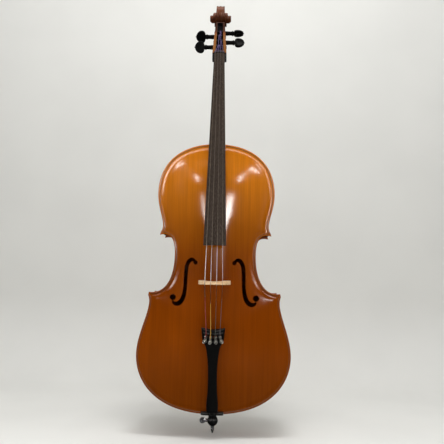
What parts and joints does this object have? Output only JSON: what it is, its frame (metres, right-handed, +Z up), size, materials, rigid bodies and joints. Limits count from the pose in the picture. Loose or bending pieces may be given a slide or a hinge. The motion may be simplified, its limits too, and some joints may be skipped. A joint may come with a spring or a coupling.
{
  "type": "cello",
  "caption": "Full-size cello: arched hollow body with f-holes, scroll neck, turning pegs, fine tuners on a black tailpiece, and a sliding endpin with a thumbscrew.",
  "frame": {"origin": "point of the endpin when it is pushed right in, on the instrument's centre line", "axes": "+Z up the instrument from endpin to scroll, -Y out of its front (the belly and strings), +X to its treble side"},
  "size_m": [0.432, 0.2569, 1.2946],
  "materials": {
    "spruce_varnished": "glossy orange-brown varnish over straight-grained spruce",
    "maple_varnished": "glossy red-brown varnish over flamed maple",
    "spruce_bare": "bare, sanded",
    "maple_bare": "bare, oiled",
    "ebony": "polished black wood",
    "peg_black": "polished ebony",
    "fitting_black": "black, satin gloss",
    "cord_black": "black nylon cord",
    "string_metal": "wound metal with silk at both ends",
    "steel": "bright turned steel",
    "tuner_steel": "nickel plate"
  },
  "bodies": {
    "root": {"belly": "spruce_varnished", "back": "maple_varnished", "rib_lower_bass": "maple_varnished", "lining_lower_bass_belly": "spruce_bare", "lining_lower_bass_back": "spruce_bare", "rib_waist_bass": "maple_varnished", "lining_waist_bass_belly": "spruce_bare", "lining_waist_bass_back": "spruce_bare", "rib_upper_bass": "maple_varnished", "lining_upper_bass_belly": "spruce_bare", "lining_upper_bass_back": "spruce_bare", "corner_block_lower_bass": "spruce_bare", "corner_block_upper_bass": "spruce_bare", "rib_lower_treble": "maple_varnished", "lining_lower_treble_belly": "spruce_bare", "lining_lower_treble_back": "spruce_bare", "rib_waist_treble": "maple_varnished", "lining_waist_treble_belly": "spruce_bare", "lining_waist_treble_back": "spruce_bare", "rib_upper_treble": "maple_varnished", "lining_upper_treble_belly": "spruce_bare", "lining_upper_treble_back": "spruce_bare", "corner_block_lower_treble": "spruce_bare", "corner_block_upper_treble": "spruce_bare", "end_block": "spruce_bare", "neck_block": "spruce_bare", "bass_bar": "spruce_bare", "sound_post": "spruce_bare", "neck_and_scroll": "maple_varnished", "fingerboard": "ebony", "nut": "ebony", "saddle": "ebony", "bridge": "maple_bare", "tailpiece": "fitting_black", "tailpiece_fret": "ebony", "tailgut": "cord_black", "endpin_collar": "fitting_black", "string_c": "string_metal", "string_g": "string_metal", "string_d": "string_metal", "string_a": "string_metal", "tuner_bracket_c": "tuner_steel", "tuner_bracket_g": "tuner_steel", "tuner_bracket_d": "tuner_steel", "tuner_bracket_a": "tuner_steel"},
    "peg_c": {"peg_c": "peg_black"},
    "peg_g": {"peg_g": "peg_black"},
    "peg_d": {"peg_d": "peg_black"},
    "peg_a": {"peg_a": "peg_black"},
    "endpin": {"endpin_rod": "steel", "endpin_tip": "steel"},
    "thumbscrew": {"thumbscrew": "steel"},
    "tuner_screw_c": {"tuner_screw_c": "tuner_steel"},
    "tuner_lever_c": {"tuner_lever_c": "tuner_steel"},
    "tuner_screw_g": {"tuner_screw_g": "tuner_steel"},
    "tuner_lever_g": {"tuner_lever_g": "tuner_steel"},
    "tuner_screw_d": {"tuner_screw_d": "tuner_steel"},
    "tuner_lever_d": {"tuner_lever_d": "tuner_steel"},
    "tuner_screw_a": {"tuner_screw_a": "tuner_steel"},
    "tuner_lever_a": {"tuner_lever_a": "tuner_steel"}
  },
  "joints": [
    {"name": "peg_c_turn", "type": "hinge", "parent": "root", "child": "peg_c", "pos_m": [0, -0.0108, 1.14239], "axis": [1, 0, 0], "continuous": true},
    {"name": "peg_g_turn", "type": "hinge", "parent": "root", "child": "peg_g", "pos_m": [0, -0.00065, 1.1801], "axis": [1, 0, 0], "continuous": true},
    {"name": "peg_d_turn", "type": "hinge", "parent": "root", "child": "peg_d", "pos_m": [0, 0.00824, 1.19614], "axis": [1, 0, 0], "continuous": true},
    {"name": "peg_a_turn", "type": "hinge", "parent": "root", "child": "peg_a", "pos_m": [0, -0.00492, 1.16046], "axis": [1, 0, 0], "continuous": true},
    {"name": "endpin_slide", "type": "slide", "parent": "root", "child": "endpin", "axis": [0, 0, -1], "range_m": [0, 0.35]},
    {"name": "thumbscrew_turn", "type": "hinge", "parent": "root", "child": "thumbscrew", "pos_m": [0, 0, 0.0355], "axis": [1, 0, 0], "range_deg": [-540, 0]},
    {"name": "tuner_screw_c_turn", "type": "hinge", "parent": "root", "child": "tuner_screw_c", "pos_m": [-0.02127, -0.11949, 0.27191], "axis": [0.4105, 0.893, 0.1845], "range_deg": [0, 1080]},
    {"name": "tuner_lever_c_tilt", "type": "hinge", "parent": "root", "child": "tuner_lever_c", "pos_m": [-0.01607, -0.11525, 0.28319], "axis": [0.8929, -0.3526, -0.2799], "range_deg": [0, 6.1]},
    {"name": "tuner_screw_g_turn", "type": "hinge", "parent": "root", "child": "tuner_screw_g", "pos_m": [-0.00717, -0.12388, 0.2705], "axis": [0.1368, 0.9691, 0.2051], "range_deg": [0, 1080]},
    {"name": "tuner_lever_g_tilt", "type": "hinge", "parent": "root", "child": "tuner_lever_g", "pos_m": [-0.00538, -0.11837, 0.28228], "axis": [0.9883, -0.1196, -0.0941], "range_deg": [0, 6.1]},
    {"name": "tuner_screw_d_turn", "type": "hinge", "parent": "root", "child": "tuner_screw_d", "pos_m": [0.00717, -0.12388, 0.2705], "axis": [-0.1368, 0.9691, 0.2051], "range_deg": [0, 1080]},
    {"name": "tuner_lever_d_tilt", "type": "hinge", "parent": "root", "child": "tuner_lever_d", "pos_m": [0.00538, -0.11837, 0.28228], "axis": [0.9883, 0.1196, 0.0941], "range_deg": [0, 6.1]},
    {"name": "tuner_screw_a_turn", "type": "hinge", "parent": "root", "child": "tuner_screw_a", "pos_m": [0.02127, -0.11949, 0.27191], "axis": [-0.4105, 0.893, 0.1845], "range_deg": [0, 1080]},
    {"name": "tuner_lever_a_tilt", "type": "hinge", "parent": "root", "child": "tuner_lever_a", "pos_m": [0.01607, -0.11525, 0.28319], "axis": [0.8929, 0.3526, 0.2799], "range_deg": [0, 6.1]}
  ],
  "couplings": [
    {"joint": "tuner_lever_c_tilt", "follows": "tuner_screw_c_turn", "ratio": 0.005556},
    {"joint": "tuner_lever_g_tilt", "follows": "tuner_screw_g_turn", "ratio": 0.005556},
    {"joint": "tuner_lever_d_tilt", "follows": "tuner_screw_d_turn", "ratio": 0.005556},
    {"joint": "tuner_lever_a_tilt", "follows": "tuner_screw_a_turn", "ratio": 0.005556}
  ]
}
